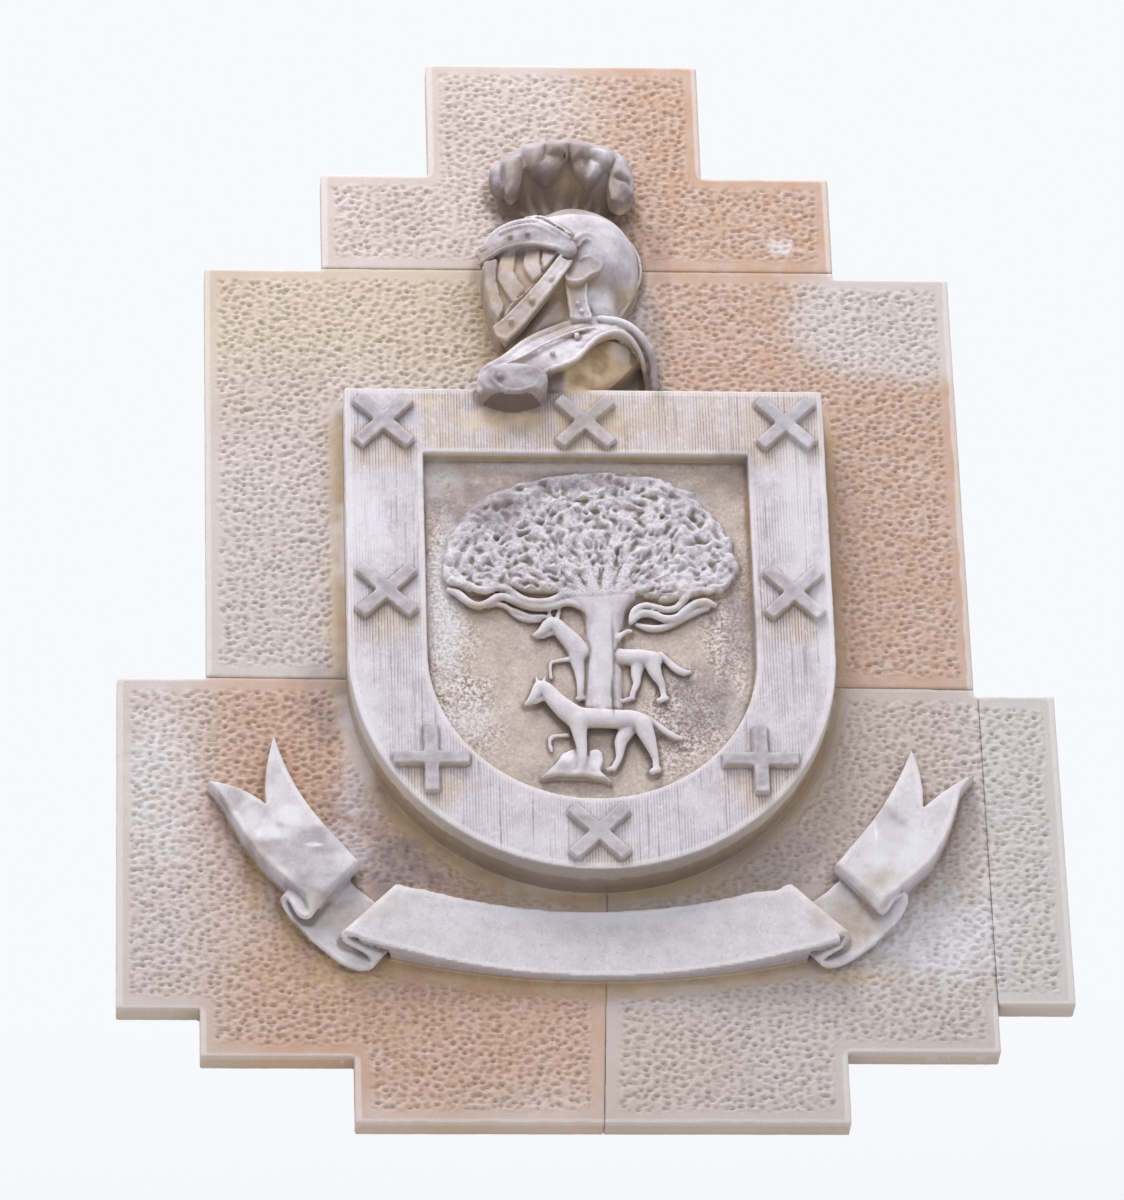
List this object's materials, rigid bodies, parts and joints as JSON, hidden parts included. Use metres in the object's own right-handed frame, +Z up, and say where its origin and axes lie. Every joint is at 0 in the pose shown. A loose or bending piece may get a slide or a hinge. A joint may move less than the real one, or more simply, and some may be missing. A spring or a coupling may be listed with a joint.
{
  "type": "carved coat of arms",
  "caption": "Sandstone wall panel carved with a bordered shield of tree and wolves, a plumed helmet above and a blank forked ribbon below, on a stepped block backing.",
  "frame": {"origin": "on the flat back face, at half the height of the panel, on the centre line of the shield", "axes": "+Z up, +X to the right seen from the front, +Y into the wall; the carving faces -Y"},
  "size_m": [1.2, 0.1366, 1.575],
  "materials": {
    "crest_stone": "matte",
    "middle_stone": "matte",
    "lower_left_stone": "matte",
    "lower_right_stone": "matte",
    "right_end_stone": "matte"
  },
  "bodies": {
    "root": {"crest_stone": "crest_stone", "middle_stone": "middle_stone", "lower_left_stone": "lower_left_stone", "lower_right_stone": "lower_right_stone", "right_end_stone": "right_end_stone"}
  },
  "joints": []
}
